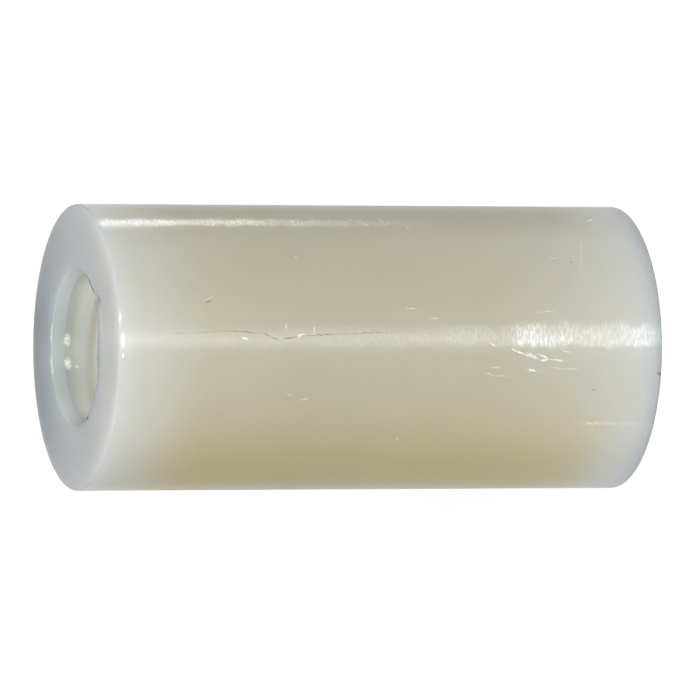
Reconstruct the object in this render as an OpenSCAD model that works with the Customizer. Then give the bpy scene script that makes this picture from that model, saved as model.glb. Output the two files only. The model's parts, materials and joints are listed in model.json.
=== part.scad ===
// Round standoff, turned from one rod of natural nylon and tapped right through.
// It stands on one end face, with the axis of the hole along Z.

/* [Body] */
// Outside diameter of the round body
body_d = 6.35; // [6:0.05:12]
// Length from one end face to the other
body_length = 12.7; // [3:0.1:50]
// Radius of the round on the outer edge of each end face
edge_r = 0.05; // [0.02:0.01:0.3]

/* [Tapped hole] */
// Diameter of the hole at the crests of its thread
hole_d = 3.3; // [1.6:0.05:4.5]
// Depth of the 45 degree chamfer at each mouth of the hole
mouth_chamfer = 0.1; // [0.05:0.01:0.3]

/* [Hidden] */
natural_nylon = [0.80, 0.79, 0.72];
$fn = 96;
body_r = body_d / 2;
hole_r = hole_d / 2;
mouth_r = hole_r + mouth_chamfer;

// Half of the wall's lengthwise section: the hole on its left, the outside on its right
module wall_section() {
    polygon([
        [mouth_r, 0],
        [body_r - edge_r, 0],
        [body_r, edge_r],
        [body_r, body_length - edge_r],
        [body_r - edge_r, body_length],
        [mouth_r, body_length],
        [hole_r, body_length - mouth_chamfer],
        [hole_r, mouth_chamfer]
    ]);
    // Each outer edge is rounded by a circle that touches the wall and the end face
    for (z = [edge_r, body_length - edge_r])
        translate([body_r - edge_r, z])
            circle(r = edge_r);
}

module standoff() {
    color(natural_nylon)
        rotate_extrude()
            wall_section();
}

standoff();
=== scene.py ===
import bpy
import json
import math
from mathutils import Matrix, Vector


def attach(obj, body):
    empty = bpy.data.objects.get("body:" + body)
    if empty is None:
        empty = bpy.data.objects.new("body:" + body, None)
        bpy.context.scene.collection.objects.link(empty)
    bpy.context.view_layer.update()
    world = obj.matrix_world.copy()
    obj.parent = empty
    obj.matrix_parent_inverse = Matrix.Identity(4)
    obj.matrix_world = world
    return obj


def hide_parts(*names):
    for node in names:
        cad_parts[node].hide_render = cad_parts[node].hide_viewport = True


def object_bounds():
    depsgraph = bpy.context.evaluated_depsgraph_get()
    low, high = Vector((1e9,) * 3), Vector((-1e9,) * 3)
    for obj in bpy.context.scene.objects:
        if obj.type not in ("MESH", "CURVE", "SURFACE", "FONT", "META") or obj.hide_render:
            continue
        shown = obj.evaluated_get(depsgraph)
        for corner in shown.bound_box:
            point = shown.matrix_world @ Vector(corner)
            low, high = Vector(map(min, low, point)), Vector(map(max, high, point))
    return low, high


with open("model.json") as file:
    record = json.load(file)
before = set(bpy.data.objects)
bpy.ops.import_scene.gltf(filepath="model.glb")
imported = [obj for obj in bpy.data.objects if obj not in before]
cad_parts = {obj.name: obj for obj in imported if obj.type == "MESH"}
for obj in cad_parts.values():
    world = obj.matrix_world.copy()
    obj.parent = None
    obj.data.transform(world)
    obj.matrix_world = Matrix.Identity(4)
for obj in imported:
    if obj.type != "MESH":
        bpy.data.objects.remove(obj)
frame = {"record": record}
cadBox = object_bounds()
mm = 0.001
bodyRadius = (cadBox[1].x - cadBox[0].x) / 2
bodyLength = cadBox[1].z - cadBox[0].z
partMiddle = Vector((0, 0, bodyLength / 2))
print("stage: frame loaded")


def addNode(tree, kind, links=None, out=0, **settings):
    # links maps an input's name or number to a value or to another node's output
    node = tree.nodes.new(kind)
    for name, value in settings.items():
        setattr(node, name, value)
    for name, source in (links or {}).items():
        if isinstance(source, bpy.types.NodeSocket):
            tree.links.new(source, node.inputs[name])
        else:
            node.inputs[name].default_value = source
    return node.outputs[out] if node.outputs else node


def linear(hexColour):
    # sRGB hex to the linear colour that the shader sockets take
    channels = [int(hexColour[i:i + 2], 16) / 255 for i in (1, 3, 5)]
    return [c / 12.92 if c <= 0.04045 else ((c + 0.055) / 1.055) ** 2.4 for c in channels] + [1.0]


def aroundPart(azimuthDeg, elevationDeg, distanceMm):
    # azimuth 0 is the camera's side, 90 is the picture's upper side; elevation is above the floor
    azimuth, elevation = math.radians(azimuthDeg), math.radians(elevationDeg)
    flat = Vector((math.sin(azimuth), -math.cos(azimuth), 0)) * math.cos(elevation)
    return partMiddle + (flat + Vector((0, 0, math.sin(elevation)))) * distanceMm * mm


# the camera lies on its side, so the standing part's top end points left in the picture
view = {
    "elevationDeg": 19.39,       # above the plane of the end face
    "distanceMm": 200.3,
    "lensMm": 460.8,
    "sensorMm": 36,
    "asideMm": (0.084, -0.058),  # from the part's middle to the picture's: right, up
    "clipM": (0.01, 10),
}


def makeCamera():
    place = aroundPart(0, view["elevationDeg"], view["distanceMm"])
    back = (place - partMiddle).normalized()
    up = Vector((1, 0, 0))
    right = up.cross(back)
    place += (right * view["asideMm"][0] + up * view["asideMm"][1]) * mm
    data = bpy.data.cameras.new("camera")
    data.sensor_width = view["sensorMm"]
    data.lens = view["lensMm"]
    data.clip_start, data.clip_end = view["clipM"]
    camera = bpy.data.objects.new("camera", data)
    camera.matrix_world = Matrix.Translation(place) @ Matrix((right, up, back)).transposed().to_4x4()
    bpy.context.scene.collection.objects.link(camera)
    bpy.context.scene.camera = camera


makeCamera()
print("stage: camera placed")

# the body's main sizes come from the frame, and these finish it
standoff = {
    "edgeRoundMm": 0.05,      # on the outer edge of each end face
    "edgeSteps": 4,
    "pitchMm": 0.794,         # 32 threads to the inch
    "rootRadiusMm": 2.083,    # from the axis to the bottom of the groove
    "startTurn": 0.63,        # turns the thread about the axis
    "leadMm": (0.4, 1.6),     # depth below an end face where the thread begins and where it is full
    "mouthDepthMm": 0.26,     # the plain countersink ahead of the thread
    "flapReachMm": 1.58,      # a sliver at the top mouth whose straight edge lies this far from the axis
    "flapEndDeg": 23.0,       # where it is torn off, counted from the camera's side
    "flapThickMm": 0.09,
    "nickDeg": (34.0, 5.5),   # the torn nick beside it: middle and half width
    "nickReachMm": 1.98,
    "tornMm": 0.03,           # how ragged the tap left the hole
    "tornCount": 6.0,         # tears in one radius round the hole, and in one pitch along it
    "rowsPerPitch": 16,       # meets every corner of the 60 degree thread form
    "mouthRows": 8,
    "faceRows": 3,
    "wallRows": 25,
    "around": 192,
    "creaseDeg": 35,          # edges that bend more than this stay sharp
    "weldMm": 0.0005,
}


def buildStandoffTree():
    tree = bpy.data.node_groups.new("turnedStandoff", "GeometryNodeTree")
    sockets = {
        "NodeSocketFloat": [
            "Body Radius", "Length", "Edge Radius", "Crest Radius", "Root Radius", "Mouth Radius",
            "Mouth Depth", "Pitch", "Start Turn", "Lead Start", "Lead End", "Flap Reach", "Flap End",
            "Flap Thickness", "Nick Middle", "Nick Half", "Nick Reach", "Torn"],
        "NodeSocketInt": ["Around", "Edge Steps", "Rows Per Pitch", "Mouth Rows"],
        "NodeSocketMaterial": ["Material"],
    }
    for kind, names in sockets.items():
        for name in names:
            tree.interface.new_socket(name, in_out="INPUT", socket_type=kind)
    tree.interface.new_socket("Geometry", in_out="OUTPUT", socket_type="NodeSocketGeometry")
    given = tree.nodes.new("NodeGroupInput").outputs
    calc, spread = "ShaderNodeMath", "ShaderNodeMapRange"
    frontTurn = 0.75    # where a turn passes the camera's side
    leastAhead = 0.2    # keeps the sliver's chord finite round the back

    def boreRadius(turn, height):
        # thread form: root flat of 1/8 pitch, flanks of 5/16 pitch, crest flat of 1/4 pitch
        rootHalf, flankEnd = 1 / 16, 3 / 8
        pitches = addNode(tree, calc, {0: height, 1: given["Pitch"]}, operation="DIVIDE")
        along = addNode(tree, calc, {0: pitches, 1: turn}, operation="SUBTRACT")
        along = addNode(tree, calc, {0: along, 1: given["Start Turn"]}, operation="ADD")
        fromRoot = addNode(tree, calc, {0: along, 1: 0.5}, operation="PINGPONG")
        depth = addNode(tree, spread, {
            "Value": fromRoot, "From Min": rootHalf, "From Max": flankEnd, "To Min": 1.0, "To Max": 0.0})
        toTop = addNode(tree, calc, {0: given["Length"], 1: height}, operation="SUBTRACT")
        toEnd = addNode(tree, calc, {0: height, 1: toTop}, operation="MINIMUM")
        lead = addNode(tree, spread, {
            "Value": toEnd, "From Min": given["Lead Start"], "From Max": given["Lead End"]})
        depth = addNode(tree, calc, {0: depth, 1: lead}, operation="MULTIPLY")
        thread = addNode(tree, spread, {
            "Value": depth, "To Min": given["Crest Radius"], "To Max": given["Root Radius"]})
        # the countersink ahead of the thread
        sink = addNode(tree, spread, {
            "Value": toEnd, "From Max": given["Mouth Depth"],
            "To Min": given["Mouth Radius"], "To Max": given["Crest Radius"]})
        cut = addNode(tree, calc, {0: thread, 1: sink}, operation="MAXIMUM")
        # the tap left a sliver across the top mouth, and tore a nick beside it
        fromFront = addNode(tree, calc, {0: turn, 1: frontTurn}, operation="SUBTRACT")
        angle = addNode(tree, calc, {0: fromFront, 1: math.tau}, operation="MULTIPLY")
        cosine = addNode(tree, calc, {0: angle}, operation="COSINE")
        sine = addNode(tree, calc, {0: angle}, operation="SINE")
        ahead = addNode(tree, calc, {0: cosine, 1: leastAhead}, operation="MAXIMUM")
        chord = addNode(tree, calc, {0: given["Flap Reach"], 1: ahead}, operation="DIVIDE")
        edge = addNode(tree, calc, {0: cut, 1: chord}, operation="MINIMUM")
        whole = addNode(tree, calc, {0: angle, 1: given["Flap End"]}, operation="LESS_THAN")
        thin = addNode(tree, calc, {0: toTop, 1: given["Flap Thickness"]}, operation="LESS_THAN")
        flap = addNode(tree, calc, {0: whole, 1: thin}, operation="MULTIPLY")
        cut = addNode(tree, spread, {"Value": flap, "To Min": cut, "To Max": edge})
        aside = addNode(tree, calc, {0: angle, 1: given["Nick Middle"]}, operation="SUBTRACT")
        aside = addNode(tree, calc, {0: aside}, operation="ABSOLUTE")
        nick = addNode(tree, calc, {0: aside, 1: given["Nick Half"]}, operation="LESS_THAN")
        nick = addNode(tree, calc, {0: nick, 1: thin}, operation="MULTIPLY")
        cut = addNode(tree, spread, {"Value": nick, "To Min": cut, "To Max": given["Nick Reach"]})
        spot = addNode(tree, "ShaderNodeCombineXYZ", {"X": cosine, "Y": sine, "Z": pitches})
        ragged = addNode(tree, "ShaderNodeTexNoise", {
            "Vector": spot, "Scale": standoff["tornCount"], "Detail": 3.0})
        ragged = addNode(tree, calc, {0: ragged, 1: 0.5}, operation="SUBTRACT")
        return addNode(tree, calc, {0: ragged, 1: given["Torn"], 2: cut}, operation="MULTIPLY_ADD")

    def wrap(rows, heightOf, radiusOf):
        # a flat grid rolled round the axis: across is one turn, up is the row
        columns = addNode(tree, calc, {0: given["Around"], 1: 1}, operation="ADD")
        grid = addNode(tree, "GeometryNodeMeshGrid", {
            "Size X": 1, "Size Y": 1, "Vertices X": columns, "Vertices Y": rows}, out="Mesh")
        flat = addNode(tree, "GeometryNodeInputPosition")
        across = addNode(tree, "ShaderNodeSeparateXYZ", {0: flat}, out="X")
        turn = addNode(tree, calc, {0: across, 1: 0.5}, operation="ADD")
        share = addNode(tree, calc, {0: across.node.outputs["Y"], 1: 0.5}, operation="ADD")
        height = heightOf(turn, share)
        radius = radiusOf(turn, share, height)
        angle = addNode(tree, calc, {0: turn, 1: math.tau}, operation="MULTIPLY")
        cosine = addNode(tree, calc, {0: angle}, operation="COSINE")
        sine = addNode(tree, calc, {0: angle}, operation="SINE")
        x = addNode(tree, calc, {0: radius, 1: cosine}, operation="MULTIPLY")
        y = addNode(tree, calc, {0: radius, 1: sine}, operation="MULTIPLY")
        point = addNode(tree, "ShaderNodeCombineXYZ", {"X": x, "Y": y, "Z": height})
        return addNode(tree, "GeometryNodeSetPosition", {"Geometry": grid, "Position": point})

    # bore: rows follow the thread and stop at the countersinks
    pitches = addNode(tree, calc, {0: given["Length"], 1: given["Pitch"]}, operation="DIVIDE")
    whole = addNode(tree, calc, {0: pitches}, operation="CEIL")
    rounds = addNode(tree, calc, {0: whole, 1: 1}, operation="ADD")
    boreRows = addNode(tree, calc, {
        0: rounds, 1: given["Rows Per Pitch"], 2: 1}, operation="MULTIPLY_ADD")
    boreTop = addNode(tree, calc, {0: given["Length"], 1: given["Mouth Depth"]}, operation="SUBTRACT")

    def boreHeight(turn, share):
        row = addNode(tree, calc, {0: share, 1: rounds, 2: turn}, operation="MULTIPLY_ADD")
        row = addNode(tree, calc, {0: row, 1: 1}, operation="SUBTRACT")
        height = addNode(tree, calc, {0: row, 1: given["Pitch"]}, operation="MULTIPLY")
        return addNode(tree, "ShaderNodeClamp", {
            "Value": height, "Min": given["Mouth Depth"], "Max": boreTop})

    def boreReach(turn, share, height):
        return boreRadius(turn, height)

    bore = wrap(boreRows, boreHeight, boreReach)

    # mouths: short bands that hold the two countersinks
    mouthRows = addNode(tree, calc, {0: given["Mouth Rows"], 1: 1}, operation="ADD")

    def mouthHeight(start):
        def heightOf(turn, share):
            return addNode(tree, calc, {
                0: share, 1: given["Mouth Depth"], 2: start}, operation="MULTIPLY_ADD")
        return heightOf

    mouths = [wrap(mouthRows, mouthHeight(start), boreReach) for start in (0.0, boreTop)]

    # end faces: from the mouth's own outline to the start of the edge round
    faceEdge = addNode(tree, calc, {
        0: given["Body Radius"], 1: given["Edge Radius"]}, operation="SUBTRACT")

    def faceHeight(level):
        def heightOf(turn, share):
            return addNode(tree, calc, {0: given["Length"], 1: level}, operation="MULTIPLY")
        return heightOf

    def faceReach(turn, share, height):
        return addNode(tree, spread, {
            "Value": share, "To Min": boreRadius(turn, height), "To Max": faceEdge})

    faces = [wrap(standoff["faceRows"], faceHeight(level), faceReach) for level in (0.0, 1.0)]

    # outer edges: quarter circles from each end face to the wall
    edgeRows = addNode(tree, calc, {0: given["Edge Steps"], 1: 1}, operation="ADD")

    def edgeHeight(start, direction):
        def heightOf(turn, share):
            angle = addNode(tree, calc, {0: share, 1: math.pi / 2}, operation="MULTIPLY")
            drop = addNode(tree, calc, {0: angle}, operation="COSINE")
            rise = addNode(tree, calc, {0: 1.0, 1: drop}, operation="SUBTRACT")
            rise = addNode(tree, calc, {0: rise, 1: direction}, operation="MULTIPLY")
            return addNode(tree, calc, {
                0: rise, 1: given["Edge Radius"], 2: start}, operation="MULTIPLY_ADD")
        return heightOf

    def edgeReach(turn, share, height):
        angle = addNode(tree, calc, {0: share, 1: math.pi / 2}, operation="MULTIPLY")
        reach = addNode(tree, calc, {0: angle}, operation="SINE")
        return addNode(tree, calc, {
            0: reach, 1: given["Edge Radius"], 2: faceEdge}, operation="MULTIPLY_ADD")

    edges = [wrap(edgeRows, edgeHeight(start, direction), edgeReach)
             for start, direction in ((0.0, 1.0), (given["Length"], -1.0))]

    # wall between the two edge rounds
    wallTop = addNode(tree, calc, {0: given["Length"], 1: given["Edge Radius"]}, operation="SUBTRACT")

    def wallHeight(turn, share):
        return addNode(tree, spread, {
            "Value": share, "To Min": given["Edge Radius"], "To Max": wallTop})

    def wallReach(turn, share, height):
        return given["Body Radius"]

    wall = wrap(standoff["wallRows"], wallHeight, wallReach)

    # bands that face inwards once they are rolled up are turned over
    inward = (bore, *mouths, faces[1], edges[1])
    turned = [addNode(tree, "GeometryNodeFlipFaces", {0: band}) for band in inward]
    join = tree.nodes.new("GeometryNodeJoinGeometry")
    for band in (*turned, faces[0], edges[0], wall):
        tree.links.new(band, join.inputs[0])
    welded = addNode(tree, "GeometryNodeMergeByDistance", {
        "Geometry": join.outputs[0], "Distance": standoff["weldMm"] * mm})
    smooth = addNode(tree, "GeometryNodeSetShadeSmooth", {"Geometry": welded})
    bend = addNode(tree, "GeometryNodeInputMeshEdgeAngle", out="Unsigned Angle")
    sharp = addNode(tree, "FunctionNodeCompare", {
        "A": bend, "B": math.radians(standoff["creaseDeg"])}, operation="GREATER_THAN")
    creased = addNode(tree, "GeometryNodeSetShadeSmooth", {
        "Geometry": smooth, "Selection": sharp, "Shade Smooth": False}, domain="EDGE")
    real = addNode(tree, "GeometryNodeRealizeInstances", {"Geometry": creased})
    dressed = addNode(tree, "GeometryNodeSetMaterial", {"Geometry": real, "Material": given["Material"]})
    end = tree.nodes.new("NodeGroupOutput")
    tree.links.new(dressed, end.inputs["Geometry"])
    return tree


def makeStandoff(material):
    thread = next(m for m in frame["record"]["mounts"] if m["name"] == "thread")["dims"]
    chamfer = (bodyLength - thread["length_mm"] * mm) / 2
    sizes = {
        "Body Radius": bodyRadius,
        "Length": bodyLength,
        "Edge Radius": standoff["edgeRoundMm"] * mm,
        "Crest Radius": thread["r_mm"] * mm,
        "Root Radius": standoff["rootRadiusMm"] * mm,
        "Mouth Radius": thread["r_mm"] * mm + chamfer,
        "Mouth Depth": standoff["mouthDepthMm"] * mm,
        "Pitch": standoff["pitchMm"] * mm,
        "Start Turn": standoff["startTurn"],
        "Lead Start": standoff["leadMm"][0] * mm,
        "Lead End": standoff["leadMm"][1] * mm,
        "Flap Reach": standoff["flapReachMm"] * mm,
        "Flap End": math.radians(standoff["flapEndDeg"]),
        "Flap Thickness": standoff["flapThickMm"] * mm,
        "Nick Middle": math.radians(standoff["nickDeg"][0]),
        "Nick Half": math.radians(standoff["nickDeg"][1]),
        "Nick Reach": standoff["nickReachMm"] * mm,
        "Torn": standoff["tornMm"] * mm,
        "Around": standoff["around"],
        "Edge Steps": standoff["edgeSteps"],
        "Rows Per Pitch": standoff["rowsPerPitch"],
        "Mouth Rows": standoff["mouthRows"],
        "Material": material,
    }
    maker = bpy.data.objects.new("standoffMaker", bpy.data.meshes.new("standoffMaker"))
    bpy.context.scene.collection.objects.link(maker)
    nodes = maker.modifiers.new("turnedStandoff", "NODES")
    nodes.node_group = buildStandoffTree()
    for item in nodes.node_group.interface.items_tree:
        if item.in_out == "INPUT":
            nodes[item.identifier] = sizes[item.name]
    ready = maker.evaluated_get(bpy.context.evaluated_depsgraph_get())
    mesh = bpy.data.meshes.new_from_object(ready)
    bpy.data.objects.remove(maker)
    piece = bpy.data.objects.new("nylon_standoff", mesh)
    bpy.context.scene.collection.objects.link(piece)
    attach(piece, "root")
    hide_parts("standoff")
    return piece


# natural nylon, turned: tan, with painted light that makes it milky blue-white at the ends where light
# gets in, and a satin skin of fine rings that draws a lamp out into one long streak
nylon = {
    "alongMm": (                     # colour at heights above the lower face; the bluer, lighter ends are painted light, lightest at the lower face against the floor's shade
        (0.0, "#d6d6d3"),
        (0.2, "#cdcfcc"),
        (0.55, "#cccec9"),
        (1.2, "#c9c9c0"),
        (2.3, "#c3c1b2"),
        (4.0, "#bdbaa6"),
        (8.5, "#b8b5a1"),
        (10.6, "#bbb8a5"),
        (11.9, "#c5c5ba"),
        (12.5, "#c4c7c3"),
        (12.66, "#c0c4c1"),
        (12.7, "#c4c9c9"),
    ),
    "warmShade": "#f8e9b6",           # painted shade: makes the side toward -X warmer and darker, away from the ends
    "warmShadeFrom": (-0.1, -1.2),      # in body radii along X: none, full
    "limbShade": "#e4e1d3",             # painted shade: darkens the other side where it is outermost
    "limbShadeFrom": (0.72, 1.0),
    "tintFadeMm": (0.3, 2.2),        # distance from an end face where these tints begin and are full
    "faceLightAndShadeMm": (                      # colour of the end faces from the edge on the camera's side, painted lighter there and darker towards the far edge as light and shade
        (0.0, "#d0d3d0"),
        (1.1, "#dde0df"),
        (3.2, "#d6dce1"),
        (4.6, "#cbd2d8"),
        (5.8, "#b2bcc3"),
        (6.35, "#9ca5ad"),
    ),
    "boreLightAndShadeMm": (                      # skin of the hole at depths below an end face: painted shade in a line under the countersink, painted light whiter further down
        (0.0, "#ced5d5"),
        (0.25, "#ced5d5"),
        (0.28, "#c3cac9"),
        (0.55, "#eef2ec"),
        (0.95, "#fdfef8"),
    ),
    "boreFarShade": "#e0e2df",            # painted shade on the far side of the hole's mouth
    "boreFarShadeMm": (0.8, 1.65),        # from the axis: none, full
    "boreFarShadeDepthMm": (1.4, 0.5),    # below an end face: none, full
    "cloudMm": 1.6,                  # size of the clouds in the plastic
    "cloudShare": 0.015,
    "cloudSpan": (0.3, 0.7),         # the noise that makes the darkest and the lightest
    "scatterMm": (1.6, 1.3, 1.0),    # how far red, green and blue light go inside
    "ior": 1.53,
    "roughness": (0.33, 0.38, 0.55),  # smooth skin, skin under the scuffs and painted glints, the faced ends and the hole
    "anisotropy": 0.95,
    "ringMm": 0.07,                  # spacing of the turning marks
    "ringRunMm": 0.45,               # how far one runs round before it changes
    "ringHeightMm": 0.004,
}

# scuffs and painted glints: bands of short white dashes that paint the glints of the lamp streaks, over
# a scuffed patch near the lower end; each has its middle and the half widths of its core and of the
# whole in degrees round from the camera's side, the heights in mm where it begins and where it is full,
# and a strength
scuffsAndGlints = {
    "bands": (
        (4.9, 2.0, 5.8, 4.0, 3.2, 1.0),
        (4.9, 2.0, 5.4, 7.0, 5.2, 0.26),
        (4.2, 2.4, 5.0, 12.0, 9.0, 0.1),
        (60.3, 1.0, 3.6, 4.4, 12.2, 0.8),
    ),
    "tint": "#fdfdfb",
    "share": (0.45, 1.0),      # white between the dashes, a painted sheen along the streaks, and in the dashes
    "dashMm": (0.055, 0.15),   # along the axis and round it
    "dashSpan": (0.45, 0.56),  # the noise where a dash begins and where it is full
    "patchMm": 1.1,            # size of the patches where they crowd
    "patchSpan": (0.35, 0.6),  # the noise where a patch begins and where it is full
    "patchLeast": 0.4,         # what is left between the patches
    "raggedMm": 0.35,          # size of the dents in the bands' edges
    "wander": (5.2, 1.6),      # and how far these reach, in degrees and in mm
}

# marks: scratches, specks, painted glints and painted shadow lines; each has a surface, strength, half
# width in mm, and points; on the wall and in the bore a point is degrees round from the camera's side
# and mm of height, on the top face it is degrees and mm from the axis
marks = {
    "white": (
        ("wall", 1.0, 0.03, ((-0.8, 3.57), (-2.7, 3.29), (-4.5, 2.98))),
        ("wall", 0.8, 0.024, ((-2.3, 3.2), (-3.6, 3.0))),
        ("wall", 1.0, 0.028, ((-2.9, 2.93), (-4.8, 2.69))),
        ("wall", 0.7, 0.022, ((-4.8, 2.69), (-5.5, 2.3))),
        ("wall", 0.8, 0.03, ((-5.2, 2.89), (-5.0, 2.76))),
        ("wall", 0.5, 0.022, ((-1.0, 2.4), (-2.4, 2.16))),
        ("wall", 0.9, 0.028, ((-8.9, 3.14), (-9.5, 3.0))),
        ("wall", 0.35, 0.02, ((-8.7, 3.26), (-9.8, 2.92))),
        ("wall", 0.4, 0.02, ((-8.0, 4.06), (-8.1, 3.84))),
        ("wall", 0.35, 0.02, ((-10.3, 4.22), (-11.3, 3.96), (-11.8, 3.62))),
        ("wall", 0.3, 0.018, ((-7.7, 2.76), (-8.7, 2.33), (-8.6, 1.95))),
        ("wall", 0.6, 0.02, ((1.8, 4.11), (0.6, 3.93))),
        ("wall", 0.3, 0.018, ((14.3, 2.98), (14.6, 2.5))),
        ("wall", 0.5, 0.018, ((15.9, 6.05), (15.5, 5.75))),
        ("wall", 0.35, 0.02, ((11.5, 5.5), (11.5, 5.2))),
        ("wall", 0.4, 0.018, ((9.5, 8.85), (6.2, 8.85))),
        ("wall", 0.4, 0.018, ((8.9, 8.2), (4.9, 8.21))),
        ("wall", 0.7, 0.03, ((4.0, 9.9), (3.2, 9.75))),
        ("wall", 0.9, 0.028, ((4.2, 8.62), (5.2, 8.42))),
        # painted light on the lit side of a small nick; its shaded side is among the dark marks
        ("wall", 0.3, 0.026, ((18.9, 10.68), (20.5, 10.49))),
        ("wall", 0.5, 0.026, ((38.8, 8.40), (38.4, 8.36))),
        ("wall", 0.4, 0.02, ((38.8, 2.44), (38.8, 2.23))),
        ("wall", 0.2, 0.03, ((47.8, 1.55), (34.3, 1.73))),
        ("wall", 0.9, 0.04, ((64.5, 0.99), (63.1, 1.11))),
        ("wall", 0.45, 0.022, ((-39.1, 6.03), (-40.4, 5.99))),
        ("wall", 0.35, 0.02, ((-18.4, 8.79), (-19.6, 8.66))),
        ("wall", 0.35, 0.024, ((-21.3, 8.47), (-20.5, 8.26))),
        ("wall", 0.15, 0.06, ((-32.0, 2.02), (-32.6, 0.1))),
        ("wall", 0.25, 0.03, ((-31.3, 1.67), (-32.5, 1.49), (-31.5, 1.36))),
        ("wall", 0.35, 0.03, ((64.8, 6.81), (62.1, 6.71))),
        ("wall", 0.35, 0.03, ((61.2, 6.52), (57.2, 6.4))),
        ("wall", 0.3, 0.03, ((65.9, 6.06), (59.6, 6.03))),
        ("wall", 0.25, 0.025, ((58.8, 6.02), (61.3, 5.83))),
        ("wall", 0.3, 0.025, ((59.7, 5.53), (54.5, 5.52))),
        # painted highlight: glints along the rounded rim of the top end
        ("wall", 0.9, 0.035, ((9.0, 12.66), (14.3, 12.66))),
        ("wall", 1.0, 0.045, ((-0.3, 12.62), (5.8, 12.62))),
        ("wall", 0.9, 0.035, ((-3.9, 12.62), (-2.4, 12.62))),
        ("face", 0.5, 0.07, ((38, 1.97), (20, 1.97), (2, 1.99))),
        # painted highlight: glints on the far edge of the mouth
        ("face", 1.0, 0.09, ((164.6, 1.8), (176, 1.8))),
        ("face", 1.0, 0.09, ((187, 1.8), (200, 1.8))),
        # painted highlight: glints on the hole's far wall
        ("bore", 1.0, 0.09, ((170, 12.37), (178.6, 12.37))),
        ("bore", 1.0, 0.1, ((-171.3, 12.36), (-164.5, 12.36))),
        ("bore", 0.9, 0.06, ((-166, 12.16), (-164, 12.14))),
    ),
    "dark": (
        ("wall", 0.4, 0.014, ((5.7, 11.6), (5.5, 11.08), (6.5, 10.27))),
        ("wall", 0.9, 0.016, ((6.5, 10.27), (5.7, 9.42), (2.9, 9.01), (4.5, 8.54), (5.3, 7.61))),
        ("wall", 0.5, 0.016, ((5.3, 7.61), (6.1, 6.3))),
        ("wall", 0.7, 0.03, ((36.8, 1.94), (36.6, 1.93))),
        ("wall", 0.7, 0.03, ((-17.3, 1.6), (-17.5, 1.58))),
        ("wall", 0.7, 0.03, ((-66.8, 7.71), (-66.9, 7.69))),
        # painted shade on the shaded side of that small nick
        ("wall", 0.6, 0.024, ((17.8, 10.67), (19.3, 10.5))),
        ("wall", 0.6, 0.05, ((-10.3, 0.08), (-10.8, 0.04))),
        # painted shadow lines along the mouth's near edge, under the sliver and in the torn nick
        ("face", 0.8, 0.05, ((66, 1.77), (55, 1.77), (47, 1.78), (41, 1.82))),
        ("face", 0.7, 0.05, ((33.7, 2.02), (29, 2.02))),
        ("face", 0.6, 0.05, ((21, 1.74), (-32, 1.9))),
        ("face", 0.7, 0.05, ((-58, 1.78), (-66, 1.8))),
        ("face", 0.7, 0.04, ((141, 2.03), (142, 2.0))),
        ("face", 0.6, 0.06, ((161, 3.1), (162, 3.1))),
    ),
    "whiteTint": "#fdfdfb",
    "darkTint": "#77725f",
    "shakeMm": 0.05,           # how far the strokes wander
    "breakMm": 0.12,           # and the length over which they come and go
    "breakSpan": (0.3, 0.55),  # the noise where a stroke is faintest and where it is whole
    "breakLeast": 0.3,         # what is left of it where it is faintest
    "strokeReach": 0.6,        # half length of a stroke's soft ellipse, as a share of the stroke
    "strokeGain": 1.7,         # makes up for its soft edge
}


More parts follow.
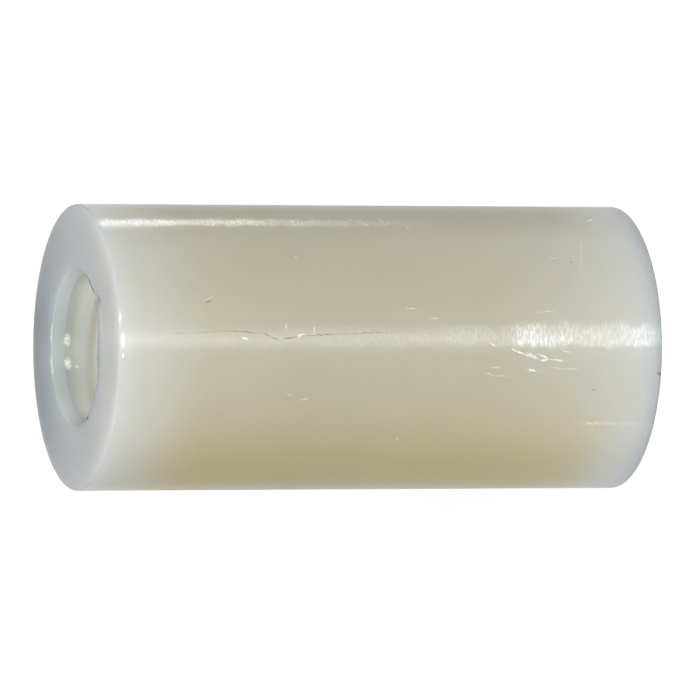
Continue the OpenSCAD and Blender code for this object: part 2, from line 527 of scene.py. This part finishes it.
def makeNylon():
    material = bpy.data.materials.new("natural_nylon_turned")
    material.use_nodes = True
    tree = material.node_tree
    shader = tree.nodes["Principled BSDF"]
    calc, vector = "ShaderNodeMath", "ShaderNodeVectorMath"
    spread, noise = "ShaderNodeMapRange", "ShaderNodeTexNoise"
    place = addNode(tree, "ShaderNodeTexCoord", out="Object")
    x = addNode(tree, "ShaderNodeSeparateXYZ", {0: place}, out="X")
    y, z = x.node.outputs["Y"], x.node.outputs["Z"]
    across = addNode(tree, "ShaderNodeCombineXYZ", {"X": x, "Y": y})
    radius = addNode(tree, vector, {0: across}, out="Value", operation="LENGTH")
    back = addNode(tree, calc, {0: y, 1: -1.0}, operation="MULTIPLY")
    angle = addNode(tree, calc, {0: x, 1: back}, operation="ARCTAN2")
    arc = addNode(tree, calc, {0: angle, 1: bodyRadius}, operation="MULTIPLY")
    toTop = addNode(tree, calc, {0: bodyLength, 1: z}, operation="SUBTRACT")
    toEnd = addNode(tree, calc, {0: toTop, 1: z}, operation="MINIMUM")

    # which surface a point lies on
    wallFrom = 0.97 * bodyRadius
    faceBand = 0.004 * mm
    boreReach = (standoff["rootRadiusMm"] + 0.037) * mm
    isWall = addNode(tree, calc, {0: radius, 1: wallFrom}, operation="GREATER_THAN")
    isTop = addNode(tree, calc, {0: toTop, 1: faceBand}, operation="LESS_THAN")
    isFace = addNode(tree, calc, {0: toEnd, 1: faceBand}, operation="LESS_THAN")
    isBore = addNode(tree, calc, {0: radius, 1: boreReach}, operation="LESS_THAN")
    isBore = addNode(tree, calc, {0: isBore, 1: isFace}, operation="SUBTRACT", use_clamp=True)

    def blended(factor, below, above, kind="MIX"):
        return addNode(tree, "ShaderNodeMix", {"Factor": factor, "A": below, "B": above},
                       out="Result", data_type="RGBA", blend_type=kind)

    def colourRamp(distance, stops):
        # a colour at each distance in mm, and a straight run between them
        reach = stops[-1][0]
        share = addNode(tree, calc, {0: distance, 1: reach * mm}, operation="DIVIDE")
        output = addNode(tree, "ShaderNodeValToRGB", {"Fac": share})
        ramp = output.node.color_ramp
        while len(ramp.elements) < len(stops):
            ramp.elements.new(0.5)
        for element, (stop, hexColour) in zip(ramp.elements, stops):
            element.position = stop / reach
            element.color = linear(hexColour)
        return output

    # colour along the axis
    along = colourRamp(z, nylon["alongMm"])

    # clouds
    clouds = addNode(tree, noise, {
        "Vector": place, "Scale": 1 / (nylon["cloudMm"] * mm), "Detail": 3.0})
    clouds = addNode(tree, spread, {
        "Value": clouds, "From Min": nylon["cloudSpan"][0], "From Max": nylon["cloudSpan"][1],
        "To Min": 1 - nylon["cloudShare"], "To Max": 1 + nylon["cloudShare"]})
    colour = addNode(tree, vector, {0: along, "Scale": clouds}, operation="SCALE")

    # painted shade on the two sides
    aside = addNode(tree, calc, {0: x, 1: bodyRadius}, operation="DIVIDE")
    fadeStart, fadeEnd = nylon["tintFadeMm"]
    inner = addNode(tree, spread, {
        "Value": toEnd, "From Min": fadeStart * mm, "From Max": fadeEnd * mm},
        interpolation_type="SMOOTHSTEP")
    for tint, reach in (("warmShade", "warmShadeFrom"), ("limbShade", "limbShadeFrom")):
        start, full = nylon[reach]
        side = addNode(tree, spread, {"Value": aside, "From Min": start, "From Max": full},
                       interpolation_type="SMOOTHSTEP")
        side = addNode(tree, calc, {0: side, 1: inner}, operation="MULTIPLY")
        colour = blended(side, colour, linear(nylon[tint]), "MULTIPLY")

    # the end faces and the hole, with their painted light and shade
    fromNear = addNode(tree, calc, {0: y, 1: bodyRadius}, operation="ADD")
    colour = blended(isFace, colour, colourRamp(fromNear, nylon["faceLightAndShadeMm"]))
    # painted shade on the far side of the hole's mouth
    far = addNode(tree, spread, {
        "Value": y, "From Min": nylon["boreFarShadeMm"][0] * mm, "From Max": nylon["boreFarShadeMm"][1] * mm},
        interpolation_type="SMOOTHSTEP")
    deep, mouth = nylon["boreFarShadeDepthMm"]
    shallow = addNode(tree, spread, {"Value": toEnd, "From Min": deep * mm, "From Max": mouth * mm})
    far = addNode(tree, calc, {0: far, 1: shallow}, operation="MULTIPLY")
    skin = blended(far, colourRamp(toEnd, nylon["boreLightAndShadeMm"]), linear(nylon["boreFarShade"]), "MULTIPLY")
    colour = blended(isBore, colour, skin)

    # scuffs and painted glints along the lamp streaks
    cell = addNode(tree, "ShaderNodeCombineXYZ", {"X": arc, "Y": z})
    ragged = addNode(tree, noise, {
        "Vector": cell, "Scale": 1 / (scuffsAndGlints["raggedMm"] * mm), "Detail": 3.0}, noise_dimensions="2D")
    ragged = addNode(tree, calc, {0: ragged, 1: 0.5}, operation="SUBTRACT")
    wanderRound, wanderAlong = math.radians(scuffsAndGlints["wander"][0]), scuffsAndGlints["wander"][1] * mm
    dented = addNode(tree, calc, {0: ragged, 1: wanderAlong, 2: z}, operation="MULTIPLY_ADD")
    patches = addNode(tree, noise, {
        "Vector": cell, "Scale": 1 / (scuffsAndGlints["patchMm"] * mm), "Detail": 2.0}, noise_dimensions="2D")
    patches = addNode(tree, spread, {
        "Value": patches, "From Min": scuffsAndGlints["patchSpan"][0], "From Max": scuffsAndGlints["patchSpan"][1],
        "To Min": scuffsAndGlints["patchLeast"]})
    scuffAndGlintMask = 0.0
    for middle, core, whole, start, full, strength in scuffsAndGlints["bands"]:
        off = addNode(tree, calc, {0: angle, 1: math.radians(middle)}, operation="SUBTRACT")
        off = addNode(tree, calc, {0: off}, operation="ABSOLUTE")
        off = addNode(tree, calc, {0: ragged, 1: wanderRound, 2: off}, operation="MULTIPLY_ADD")
        band = addNode(tree, spread, {
            "Value": off, "From Min": math.radians(whole), "From Max": math.radians(core),
            "To Max": strength}, interpolation_type="SMOOTHSTEP")
        reach = addNode(tree, spread, {"Value": dented, "From Min": start * mm, "From Max": full * mm})
        band = addNode(tree, calc, {0: band, 1: reach}, operation="MULTIPLY")
        scuffAndGlintMask = addNode(tree, calc, {0: band, 1: scuffAndGlintMask}, operation="MAXIMUM")
    scuffAndGlintMask = addNode(tree, calc, {0: scuffAndGlintMask, 1: patches}, operation="MULTIPLY")
    scuffAndGlintMask = addNode(tree, calc, {0: scuffAndGlintMask, 1: isWall}, operation="MULTIPLY")
    dashAlong, dashRound = scuffsAndGlints["dashMm"]
    cell = addNode(tree, vector, {
        0: cell, 1: (1 / (dashRound * mm), 1 / (dashAlong * mm), 0)}, operation="MULTIPLY")
    dashes = addNode(tree, noise, {"Vector": cell, "Scale": 1.0, "Detail": 1.0}, noise_dimensions="2D")
    dashes = addNode(tree, spread, {
        "Value": dashes, "From Min": scuffsAndGlints["dashSpan"][0], "From Max": scuffsAndGlints["dashSpan"][1],
        "To Min": scuffsAndGlints["share"][0], "To Max": scuffsAndGlints["share"][1]})
    dashes = addNode(tree, calc, {0: dashes, 1: scuffAndGlintMask}, operation="MULTIPLY")
    colour = blended(dashes, colour, linear(scuffsAndGlints["tint"]))

    # marks: soft ellipses along the strokes, on one sheet in mm where the unrolled surfaces lie apart
    sheets = {"wall": 0.0, "face": 100.0, "bore": 200.0}
    up = addNode(tree, calc, {0: isBore, 1: sheets["bore"] * mm, 2: z}, operation="MULTIPLY_ADD")
    out = addNode(tree, calc, {0: y, 1: sheets["face"] * mm}, operation="ADD")
    over = addNode(tree, spread, {"Value": isTop, "To Min": arc, "To Max": x})
    up = addNode(tree, spread, {"Value": isTop, "To Min": up, "To Max": out})
    spot = addNode(tree, "ShaderNodeCombineXYZ", {"X": over, "Y": up})
    spot = addNode(tree, vector, {0: spot, "Scale": 1 / mm}, operation="SCALE")
    loose = addNode(tree, noise, {"Vector": spot, "Scale": 1 / marks["breakMm"], "Detail": 2.0},
                    out="Color", noise_dimensions="2D")
    shaken = addNode(tree, vector, {0: loose, 1: (0.5, 0.5, 0.5)}, operation="SUBTRACT")
    shaken = addNode(tree, vector, {0: shaken, 1: (marks["shakeMm"], marks["shakeMm"], 0), 2: spot},
                     operation="MULTIPLY_ADD")
    broken = addNode(tree, "ShaderNodeSeparateXYZ", {0: loose}, out="Z")
    broken = addNode(tree, spread, {
        "Value": broken, "From Min": marks["breakSpan"][0], "From Max": marks["breakSpan"][1],
        "To Min": marks["breakLeast"]})

    def onSurface(surface, degrees, reach):
        # a mark's point in mm, on the face itself or on the unrolled wall
        turned = math.radians(degrees)
        if surface == "face":
            return Vector((math.sin(turned) * reach, -math.cos(turned) * reach, 0))
        return Vector((turned * bodyRadius / mm, reach, 0))

    for kind in ("white", "dark"):
        total = 0.0
        for surface, strength, width, points in marks[kind]:
            ends = [onSurface(surface, *point) for point in points]
            for a, b in zip(ends, ends[1:]):
                run = b - a
                ink = addNode(tree, "ShaderNodeTexGradient", {"Vector": shaken},
                              out=1, gradient_type="SPHERICAL")
                stroke = ink.node.texture_mapping
                stroke.vector_type = "TEXTURE"
                stroke.translation = (a + b) / 2 + Vector((0, sheets[surface], 0))
                stroke.rotation = (0, 0, math.atan2(run.y, run.x))
                stroke.scale = (marks["strokeReach"] * run.length + width, width, 1)
                total = addNode(tree, calc, {
                    0: ink, 1: marks["strokeGain"] * strength, 2: total}, operation="MULTIPLY_ADD")
        total = addNode(tree, calc, {0: total, 1: broken}, operation="MULTIPLY", use_clamp=True)
        colour = blended(total, colour, linear(marks[kind + "Tint"]))

    # rings: height along the wall, radius across the end faces
    ring = addNode(tree, calc, {0: z, 1: radius}, operation="ADD")
    ring = addNode(tree, calc, {0: ring, 1: nylon["ringRunMm"] / nylon["ringMm"]}, operation="MULTIPLY")
    stretched = addNode(tree, "ShaderNodeCombineXYZ", {"X": x, "Y": y, "Z": ring})
    rings = addNode(tree, noise, {
        "Vector": stretched, "Scale": 1 / (nylon["ringRunMm"] * mm), "Detail": 2.0})
    bump = addNode(tree, "ShaderNodeBump", {
        "Height": rings, "Distance": nylon["ringHeightMm"] * mm}, out="Normal")
    smoothSkin, scuffedSkin, facedSkin = nylon["roughness"]
    rough = addNode(tree, spread, {"Value": scuffAndGlintMask, "To Min": smoothSkin, "To Max": scuffedSkin})
    matt = addNode(tree, calc, {0: isBore, 1: isFace}, operation="MAXIMUM")
    rough = addNode(tree, spread, {"Value": matt, "To Min": rough, "To Max": facedSkin})

    # highlights stretch across the rings
    circle = addNode(tree, vector, {0: (0, 0, 1), 1: across}, operation="CROSS_PRODUCT")
    facing = addNode(tree, "ShaderNodeNewGeometry", out="Normal")
    grain = addNode(tree, vector, {0: circle, 1: facing}, operation="CROSS_PRODUCT")
    grain = addNode(tree, vector, {0: grain}, operation="NORMALIZE")
    sources = {"Base Color": colour, "Roughness": rough, "Normal": bump, "Tangent": grain}
    for name, source in sources.items():
        tree.links.new(source, shader.inputs[name])
    shader.inputs["IOR"].default_value = nylon["ior"]
    shader.inputs["Anisotropic"].default_value = nylon["anisotropy"]
    shader.inputs["Subsurface Weight"].default_value = 1.0
    shader.inputs["Subsurface Radius"].default_value = nylon["scatterMm"]
    shader.inputs["Subsurface Scale"].default_value = mm
    return material


body = makeStandoff(makeNylon())
print("stage: standoff built,", len(body.data.polygons), "faces")

# floor and lamps: strips in front and above draw the two streaks, soft lamps round them light the part
studio = {
    "tent": (0.05, 0.14),      # behind the part, before it
    "floor": "#e8e8e8",
    "floorWhite": 0.9,         # the share of white that the floor shows by itself
    "floorShade": 0.22,        # the share that its own light and shadow add
    "floorSizeM": 2.0,
    "lamps": {                 # azimuth, elevation, distance, width and height in mm, radiance
        "keyStrip": (6.2, 9.5, 250, 38, 70, 26.0),
        "frontSoft": (14, 38, 300, 200, 100, 6.25),
        "lowerSoft": (-74, 40, 300, 200, 200, 2.4),
        "rimLamp": (10, 54, 20, 6, 6, 1.9),
        "upperStrip": (104, 14.9, 12.3, 1, 3, 18.5),
        "backSoft": (180, 12, 300, 120, 120, 5.0),
    },
    "unmirrored": ("backSoft",),  # lights the far side and leaves no streak
}


def makeFloor():
    half = studio["floorSizeM"] / 2
    mesh = bpy.data.meshes.new("floor")
    corners = [(-half, -half, 0), (half, -half, 0), (half, half, 0), (-half, half, 0)]
    mesh.from_pydata(corners, [], [(0, 1, 2, 3)])
    floor = bpy.data.objects.new("floor", mesh)
    bpy.context.scene.collection.objects.link(floor)
    material = bpy.data.materials.new("white_floor_card")
    material.use_nodes = True
    tree = material.node_tree
    tree.nodes.clear()
    card = addNode(tree, "ShaderNodeBsdfDiffuse", {"Color": linear(studio["floor"])})
    white = addNode(tree, "ShaderNodeEmission", {"Strength": studio["floorWhite"]})
    shade = addNode(tree, "ShaderNodeBsdfDiffuse", {"Color": [studio["floorShade"]] * 3 + [1]})
    shown = addNode(tree, "ShaderNodeAddShader", {0: white, 1: shade})
    camera = addNode(tree, "ShaderNodeLightPath", out="Is Camera Ray")
    rays = camera.node.outputs
    seen = camera
    for ray in ("Is Glossy Ray", "Is Transmission Ray"):
        seen = addNode(tree, "ShaderNodeMath", {0: seen, 1: rays[ray]}, operation="MAXIMUM")
    mixed = addNode(tree, "ShaderNodeMixShader", {0: seen, 1: card, 2: shown})
    addNode(tree, "ShaderNodeOutputMaterial", {"Surface": mixed})
    mesh.materials.append(material)


def hangLamp(name, axes, place, width, height, radiance):
    lamp = bpy.data.lights.new(name, "AREA")
    lamp.shape = "RECTANGLE"
    lamp.size, lamp.size_y = width * mm, height * mm
    lamp.energy = radiance * math.pi * lamp.size * lamp.size_y
    stand = bpy.data.objects.new(name, lamp)
    stand.matrix_world = Matrix.Translation(place) @ axes.transposed().to_4x4()
    stand.visible_camera = False
    stand.visible_glossy = name not in studio["unmirrored"]
    bpy.context.scene.collection.objects.link(stand)


def makeLights():
    world = bpy.data.worlds.new("lightTent")
    world.use_nodes = True
    tree = world.node_tree
    tree.nodes.clear()
    towards = addNode(tree, "ShaderNodeTexCoord", out="Generated")
    depth = addNode(tree, "ShaderNodeSeparateXYZ", {0: towards}, out="Y")
    behind, before = studio["tent"]
    tent = addNode(tree, "ShaderNodeMapRange", {
        "Value": depth, "From Min": 1.0, "From Max": -1.0, "To Min": behind, "To Max": before})
    camera = addNode(tree, "ShaderNodeLightPath", out="Is Camera Ray")
    strength = addNode(tree, "ShaderNodeMapRange", {"Value": camera, "To Min": tent, "To Max": 1.0})
    sky = addNode(tree, "ShaderNodeBackground", {"Color": (1, 1, 1, 1), "Strength": strength})
    addNode(tree, "ShaderNodeOutputWorld", {"Surface": sky})
    bpy.context.scene.world = world
    for name, (azimuth, elevation, distance, width, height, radiance) in studio["lamps"].items():
        place = aroundPart(azimuth, elevation, distance)
        back = (place - partMiddle).normalized()
        aside = Vector((0, 0, 1)).cross(back).normalized()
        hangLamp(name, Matrix((aside, back.cross(aside), back)), place, width, height, radiance)


makeFloor()
makeLights()
bpy.context.scene.view_settings.view_transform = "Standard"
print("stage: floor and lamps set")
